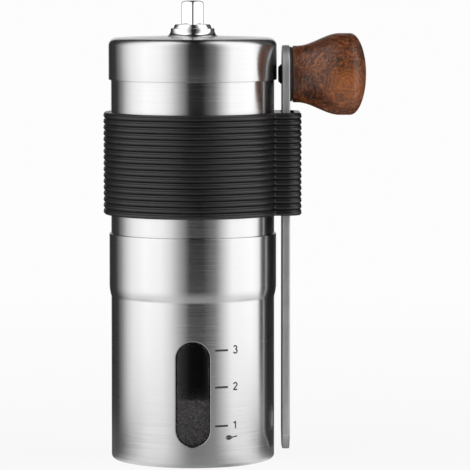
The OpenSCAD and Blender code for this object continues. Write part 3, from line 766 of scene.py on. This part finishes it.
def ground_coffee():
    """A heap with an uneven top, and loose grains pressed against the window."""
    random.seed(7)
    floor, foot_r, inside_r = 2.05 * MM, 19.3 * MM, 20.95 * MM
    front_level, dip = 18.9 * MM, 2.4 * MM
    window_floor_r, half_window = 21.4 * MM, 5.1 * MM      # grains stand between heap and window
    grains_at_window, grains_on_top = 1500, 900

    def level(x, y):
        away = (y + inside_r) / (2 * inside_r)
        hills = noise.noise(Vector((x * 240, y * 240, 3.1))) * 0.7
        lumps = noise.noise(Vector((x * 900, y * 900, 8.2))) * 0.35
        return front_level - dip * math.sin(away * 2.4) + (hills + lumps) * MM

    rings = [[(0, 0, floor)]]
    directions = arc(0, 0, 1, 0, 360, 160)[:-1]
    rings.append([(foot_r * c, foot_r * s, floor) for c, s in directions])
    for k in range(1, 23):
        share = k / 22
        ring = []
        for c, s in directions:
            rough = noise.noise(Vector((c * 40, s * 40, share * 44))) * 0.12 * MM
            radius = min(inside_r, 19.4 * MM + 1.6 * MM * min(1, share * 9)) - abs(rough)
            top = level(radius * c, radius * s)
            ring.append((radius * c, radius * s, floor + (top - floor) * share))
        rings.append(ring)
    for k in range(1, 26):
        radius = (inside_r - 0.1 * MM) * (1 - k / 26)
        rings.append([(radius * c, radius * s, level(radius * c, radius * s)) for c, s in directions])
    rings.append([(0, 0, level(0, 0))])
    parts = [rings_to_mesh(rings, False)]

    grain_shape = bmesh.new()
    bmesh.ops.create_icosphere(grain_shape, subdivisions=1, radius=1)
    corners, sides = taken_from(grain_shape)

    def grain_at(x, y, z, size):
        stretch = [size * random.uniform(0.65, 1.3) for _ in range(3)]
        spin = Vector((random.random(), random.random(), random.random())).normalized()
        turn = random.uniform(0, TURN)
        from_axis = Matrix.Rotation(turn, 3, spin)
        points = [from_axis @ Vector((c.x * stretch[0], c.y * stretch[1], c.z * stretch[2])) *
                  random.uniform(0.85, 1.1) for c in corners]
        return [(x + p.x, y + p.y, z + p.z) for p in points], sides

    for _ in range(grains_at_window):
        u = random.uniform(-half_window, half_window)
        z = random.uniform(slot_z - slot_h / 2, front_level + 0.4 * MM * random.gauss(0, 1))
        size = random.choice((0.16, 0.2, 0.26, 0.34)) * MM
        radius = window_floor_r - random.random() * 0.5 * MM
        parts.append(grain_at(u, -math.sqrt(radius * radius - u * u), z, size))
    for _ in range(grains_on_top):
        angle, radius = random.uniform(0, TURN), 20.4 * MM * math.sqrt(random.random())
        x, y = radius * math.cos(angle), radius * math.sin(angle)
        parts.append(grain_at(x, y, level(x, y) + 0.1 * MM, random.choice((0.18, 0.24, 0.34)) * MM))
    piece("ground_coffee", joined(*parts), "cup", "black_plastic", (), grounds_material, 50)


# ---------- grip sleeve


def even_angles(outline, count):
    """The polar angles of count points that lie evenly along a closed outline. The outline is
    given by its points at many even angles."""
    lengths = [0.0]
    for k, point in enumerate(outline):
        lengths.append(lengths[-1] + math.dist(point, outline[(k + 1) % len(outline)]))
    angles = []
    at = 0
    for k in range(count):
        wanted = lengths[-1] * k / count
        while lengths[at + 1] < wanted:
            at += 1
        part = (wanted - lengths[at]) / (lengths[at + 1] - lengths[at])
        angles.append(TURN * (at + part) / len(outline))
    return angles


def sleeve_ends(crest, bottom, top):
    """The flat ends inside the ribs' outline, and the walls of the bore and of the arm's pocket."""
    bore = arc(0, 0, high("hopper_tube").x, 0, 360, SEGMENTS)[:-1]
    in_x, out_x, half, corner = 25.35 * MM, 29.15 * MM, 8.65 * MM, 0.9 * MM
    pocket = fillet([(in_x, -half, corner), (out_x, -half, corner),
                     (out_x, half, corner), (in_x, half, corner)], 5)
    mesh = bmesh.new()
    loops = {}
    for name, points in (("crest", crest), ("bore", bore), ("pocket", pocket)):
        for z in (bottom, top):
            loops[name, z] = [mesh.verts.new((x, y, z)) for x, y in points]
    for z in (bottom, top):
        edges = [mesh.edges.new((loop[k - 1], loop[k])) for (name, level), loop in loops.items()
                 if level == z for k in range(len(loop))]
        bmesh.ops.triangle_fill(mesh, edges=edges, use_beauty=True)
    for name in ("bore", "pocket"):
        one, two = loops[name, bottom], loops[name, top]
        for k in range(len(one)):
            mesh.faces.new((one[k - 1], one[k], two[k], two[k - 1]))
    return taken_from(mesh)


def grip_sleeve():
    """Ribbed sleeve: rounded ribs all round the ring and its loop, with V grooves between them."""
    bottom, top = low("grip_sleeve").z, high("grip_sleeve").z
    rib_count = 17
    pitch = (top - bottom) / rib_count
    rib_r = 0.96 * MM
    ring_r = -low("grip_sleeve").x
    loop_x, loop_y = high("grip_sleeve").x, 10.65 * MM
    loop_corner, valley = 4.35 * MM, 0.5 * MM

    def distance(x, y):
        """Signed distance to the sleeve's outline, with its two valleys filled a little."""
        to_ring = math.hypot(x, y) - ring_r
        qx = abs(x - loop_x / 2) - loop_x / 2 + loop_corner
        qy = abs(y) - loop_y + loop_corner
        to_loop = math.hypot(max(qx, 0), max(qy, 0)) + min(max(qx, qy), 0) - loop_corner
        overlap = max(valley - abs(to_ring - to_loop), 0) / valley
        return min(to_ring, to_loop) - overlap * overlap * valley / 4

    def reach(angle, inset):
        """The outline's polar radius, drawn in by inset, found by halving a range again and again."""
        near, far = 20 * MM, 36 * MM
        for _ in range(34):
            middle = (near + far) / 2
            if distance(middle * math.cos(angle), middle * math.sin(angle)) < -inset:
                near = middle
            else:
                far = middle
        return near

    def outline(inset, angles):
        return [(r * math.cos(a), r * math.sin(a)) for a, r in ((a, reach(a, inset)) for a in angles)]

    crease, crease_at, crease_half = 0.2 * MM, 0.1 * pitch, 0.12 * pitch
    steps = (-0.5, -0.43, -0.34, -0.22, -0.1, -0.02, 0.1, 0.22, 0.3, 0.38, 0.45)

    def rib_inset(offset):
        """How far the surface is drawn in at a height from the rib's middle: a rib with a crease."""
        line = crease * max(0.0, 1 - abs(offset - crease_at) / crease_half)
        return rib_r - math.sqrt(rib_r * rib_r - offset * offset) + line

    rings = []
    many, count = 2400, 360
    angles = even_angles(outline(0, [TURN * k / many for k in range(many)]), count)
    around = {step: outline(rib_inset(step * pitch), angles) for step in steps}
    for rib in range(rib_count):
        for step in steps:
            rings.append([(x, y, bottom + (rib + 0.5 + step) * pitch) for x, y in around[step]])
    rings.append([(x, y, top) for x, y in around[steps[0]]])
    sleeve = joined(rings_to_mesh(rings, False), sleeve_ends(around[steps[0]], bottom, top))
    piece("grip_sleeve_ribbed", sleeve, "hopper", "silicone", ["grip_sleeve"], sharp_above=60)


# ---------- crank and knob


def plate(loops, x_low, x_high, edge, edge_steps=4):
    """A flat plate square to X with bevelled edges. Each loop is (points, sign): its (y, z)
    points, and 1 for the outer outline or -1 for a hole."""
    layers = []
    for k in range(edge_steps + 1):
        angle = math.pi / 2 * k / edge_steps
        layers.append((x_low + edge * (1 - math.sin(angle)), edge * (1 - math.cos(angle))))
    layers = layers[::-1]
    layers += [(x_low + x_high - x, inset) for x, inset in reversed(layers)]
    mesh = bmesh.new()
    faces_at = {0: [], len(layers) - 1: []}
    for points, sign in loops:
        count = len(points)
        area = sum(Vector(points[k - 1]).cross(Vector(points[k])) for k in range(count))
        turn = sign if area > 0 else -sign
        rings = []
        for x, inset in layers:
            ring = []
            for k in range(count):
                back = Vector(points[k]) - Vector(points[k - 1])
                ahead = Vector(points[(k + 1) % count]) - Vector(points[k])
                one = Vector((-back.y, back.x)).normalized() * turn
                two = Vector((-ahead.y, ahead.x)).normalized() * turn
                inward = (one + two).normalized()
                grow = inset / max(0.5, inward.dot(one))
                y, z = Vector(points[k]) + inward * grow
                ring.append(mesh.verts.new((x, y, z)))
            rings.append(ring)
        for one, two in zip(rings, rings[1:]):
            for k in range(count):
                mesh.faces.new((one[k - 1], one[k], two[k], two[k - 1]))
        for level in faces_at:
            ring = rings[level]
            faces_at[level] += [mesh.edges.get((ring[k - 1], ring[k])) for k in range(count)]
    for edges in faces_at.values():
        bmesh.ops.triangle_fill(mesh, edges=edges, use_beauty=True)
    return taken_from(mesh)


def crank_arm():
    """Stamped arm: round at the knob, with its lower corners cut off round the five-sided socket."""
    x_low, _, z_low = low("crank_arm")
    x_high, half, _ = high("crank_arm")
    socket_z, socket_r, socket_edge, hole_r = 11.5 * MM, 3.55 * MM, 0.2 * MM, 2.05 * MM
    cut, tip_half, corner, straight_top = 4.5 * MM, 3.6 * MM, 0.5 * MM, knob_axis_z - 1 * MM
    top_end = arc(0, knob_axis_z, half, 0, 180, 64)
    foot = fillet([(-half, straight_top, 0), (-half, z_low + cut, corner), (-tip_half, z_low, corner),
                   (tip_half, z_low, corner), (half, z_low + cut, corner), (half, straight_top, 0)], 5)
    socket = fillet([(socket_r * math.sin(a), socket_z + socket_r * math.cos(a), socket_edge)
                     for a in (TURN * k / 5 for k in range(5))], 4)
    screw_hole = arc(0, knob_axis_z, hole_r, 0, 360, 48)[:-1]
    shape = plate([(top_end + foot, 1), (socket, -1), (screw_hole, -1)], x_low, x_high, 0.45 * MM)
    piece("crank_arm_plate", shape, "crank", "arm_steel", ["crank_arm"])


def knob_radius(s, length, neck_r, full_r):
    """The knob's radius at a distance from its neck: an S-curve, then an elliptical end."""
    end, start = 4.65 * MM, 1.4 * MM
    t = min(1.0, max(0.0, (s - start) / (length - end - start - 3 * MM)))
    fall = max(0.0, s - length + end) / end
    return (neck_r + (full_r - neck_r) * t * t * (3 - 2 * t)) * math.sqrt(max(0.0, 1 - fall * fall))


def knob():
    """Turned wooden knob, with a plug let into its end."""
    full_r = high("knob").z - knob_axis_z
    neck_r, length, bore, edge = 8.15 * MM, knob_end - knob_start, 4 * MM, 0.45 * MM
    plug_r, plug_s, seat_s, groove = 5.6 * MM, 18.2 * MM, 16 * MM, 0.07 * MM

    def skin(s):
        return knob_radius(s, length, neck_r, full_r)

    profile = [(bore, knob_start)] + arc(neck_r - edge, knob_start + edge, edge, -90, 0, 5)
    places = [edge + (length - edge) * (1 - (1 - k / 90) ** 2) for k in range(1, 90)]
    outside = [s for s in places if skin(s) > plug_r + 0.25 * MM]
    profile += [(skin(s), knob_start + s) for s in outside]
    profile += [(plug_r + 0.1 * MM, knob_start + outside[-1] + 0.04 * MM),
                (plug_r + 0.02 * MM, knob_start + outside[-1] - 0.1 * MM),
                (plug_r, knob_start + seat_s), (bore, knob_start + seat_s)]
    piece("knob_body", turned_about_x(profile, knob_axis_z), "knob", "knob_wood", ["knob"])

    cap = [(0, knob_start + plug_s), (plug_r - groove, knob_start + plug_s)]
    cap_places = [s for s in places if skin(s) < plug_r - 0.15 * MM]
    cap += [(plug_r - groove, knob_start + cap_places[0] - 0.16 * MM)]
    cap += [(skin(s), knob_start + s) for s in cap_places] + [(0, knob_end)]
    piece("knob_end_plug", turned_about_x(cap, knob_axis_z), "knob", "knob_wood", ["knob_plug"])


hopper_tube()
lid_shell()
lid_boss()
shaft_head()
cup_shell()
window_pane()
volume_scale()
ground_coffee()
grip_sleeve()
crank_arm()
knob()


# ---------- floor, light and camera


BACKDROP = 0.98                # brightness of the seamless backdrop


def stage_disc(name, radius, drop, material):
    """A disc of floor under the grinder."""
    vertices, faces = turned([(0, -drop), (radius, -drop)], 96, closed=False)
    mesh = bpy.data.meshes.new(name)
    mesh.from_pydata(vertices, [], faces)
    mesh.materials.append(material)
    disc = placed(name, mesh)
    return disc


def floor_paint():
    """Pale paint whose own glow grows with distance, into the backdrop."""
    material, tree, shader = surface("floor_paint", Roughness=0.9, Specular_IOR_Level=0.1,
                                     Base_Color=(0.86, 0.86, 0.86, 1))
    glow = add(tree, "ShaderNodeEmission", {"Color": (BACKDROP, BACKDROP, BACKDROP, 1)})
    share = remap(tree, length_of(tree, object_point(tree)), 0.05, 0.5, 0.92, 1.0, smooth=True)
    blend = add(tree, "ShaderNodeMixShader", {0: share, 1: shader.outputs[0], 2: glow.outputs[0]})
    tree.links.new(blend.outputs[0], tree.nodes["Material Output"].inputs["Surface"])
    return material


def azimuth_of(tree, direction):
    """Degrees round the horizon from -Y, where the camera stands, growing towards +X."""
    split = add(tree, "ShaderNodeSeparateXYZ", {0: direction})
    ahead = math_node(tree, "MULTIPLY", split.outputs[1], -1.0)
    return math_node(tree, "DEGREES", math_node(tree, "ARCTAN2", split.outputs[0], ahead))


def round_horizon(tree, azimuth, stops):
    """A grey that changes round the horizon through (degrees, brightness) stops, none above 1."""
    return ramp(tree, remap(tree, azimuth, -180, 180),
                [((angle + 180) / 360, (value,) * 3) for angle, value in stops])


def table_paint():
    """What the steel mirrors of the table: dim in front of the grinder and bright beside it."""
    material, tree, _ = surface("table_paint")
    azimuth = azimuth_of(tree, object_point(tree))
    near = round_horizon(tree, azimuth, [
        (-110, 0.12), (-88, 0.16), (-70, 0.52), (-52, 0.96), (-30, 0.93), (-18, 0.7), (-7, 0.46),
        (0, 0.4), (26, 0.4), (36, 0.6), (48, 0.95), (66, 0.92), (82, 0.34), (98, 0.14)])
    far = round_horizon(tree, azimuth, [
        (-120, 0.06), (-104, 0.5), (-90, 1.0), (-40, 1.0), (-24, 0.8), (-10, 0.54), (0, 0.5),
        (28, 0.5), (42, 0.8), (54, 1.0), (100, 1.0), (114, 0.1)])
    away = length_of(tree, object_point(tree))
    colour = mixed(tree, remap(tree, away, 0.06, 0.12, smooth=True), near, far)
    glow = add(tree, "ShaderNodeEmission", {"Color": colour})
    tree.links.new(glow.outputs[0], tree.nodes["Material Output"].inputs["Surface"])
    return material


def studio():
    """A pale floor, and a world of soft boxes either side of a dark gap behind the camera."""
    floor_radius, table_radius = 8, 0.175
    floor = stage_disc("floor", floor_radius, 0.05 * MM, floor_paint())
    floor.visible_glossy = False
    table = stage_disc("table_reflection", table_radius, 0.04 * MM, table_paint())
    table.visible_camera = False
    table.visible_diffuse = False
    table.visible_transmission = False
    table.visible_shadow = False
    world = bpy.data.worlds.new("studio")
    bpy.context.scene.world = world
    world.use_nodes = True
    tree = world.node_tree
    tree.nodes.clear()
    direction = add(tree, "ShaderNodeTexCoord").outputs["Generated"]
    azimuth = azimuth_of(tree, direction)
    upward = add(tree, "ShaderNodeSeparateXYZ", {0: direction}).outputs[2]
    elevation = math_node(tree, "DEGREES", math_node(tree, "ARCSINE", upward))

    # Brightness round the horizon, in degrees from behind the camera: the left box fades in
    # slowly and out to the dark gap, the right box rises in a step and ends sharply.
    boxes = [(-150, 0.04), (-132, 0.06), (-118, 0.4), (-106, 0.95), (-94, 1.35), (-70, 1.65),
             (-45, 1.5), (-32, 1.15), (-20, 0.6), (-10, 0.24), (-5, 0.03), (14, 0.02), (20, 0.1),
             (32, 0.27), (44, 0.95), (56, 1.55), (90, 1.7), (104, 1.5), (111, 0.14), (140, 0.1),
             (148, 0.02)]
    brightest = max(value for _, value in boxes)
    around = round_horizon(tree, azimuth, [(angle, value / brightest) for angle, value in boxes])
    tall = math_node(tree, "MULTIPLY", remap(tree, elevation, -60, -25, smooth=True),
                     remap(tree, elevation, 70, 82, 1.0, 0.0, smooth=True))
    total = math_node(tree, "MULTIPLY", math_node(tree, "MULTIPLY", around, tall), brightest)
    # A low panel behind the grinder lights the lid's top
    panel = math_node(tree, "MULTIPLY", remap(tree, elevation, -8, -3),
                      remap(tree, elevation, 24, 30, 1.0, 0.0))
    panel = math_node(tree, "MULTIPLY", panel,
                      remap(tree, math_node(tree, "ABSOLUTE", azimuth), 164, 168, 0.0, 0.78))
    total = math_node(tree, "ADD", total, panel)
    sky = add(tree, "ShaderNodeCombineColor", {0: total, 1: total, 2: total}).outputs[0]
    seen = add(tree, "ShaderNodeLightPath").outputs["Is Camera Ray"]
    background = add(tree, "ShaderNodeBackground", {"Color": sky})
    backdrop = add(tree, "ShaderNodeBackground", {"Color": (BACKDROP, BACKDROP, BACKDROP, 1)})
    both = add(tree, "ShaderNodeMixShader", {0: seen, 1: background.outputs[0], 2: backdrop.outputs[0]})
    out = add(tree, "ShaderNodeOutputWorld")
    tree.links.new(both.outputs[0], out.inputs["Surface"])


def camera():
    """A long lens a metre away, a little above the grinder, with the grinder left of centre."""
    distance, pitch, yaw = 1.0, math.radians(4.7), math.radians(0.70)
    aim_z, lens = 64.5 * MM, 265.6
    data = bpy.data.cameras.new("camera")
    data.lens = lens
    data.sensor_width = 36
    data.clip_start = 0.05
    data.clip_end = 50
    made = placed("camera", data)
    made.location = (0, -distance * math.cos(pitch), aim_z + distance * math.sin(pitch))
    made.rotation_euler = (math.pi / 2 - pitch, 0, -yaw)
    bpy.context.scene.camera = made


studio()
camera()
bpy.context.scene.view_settings.view_transform = "Standard"
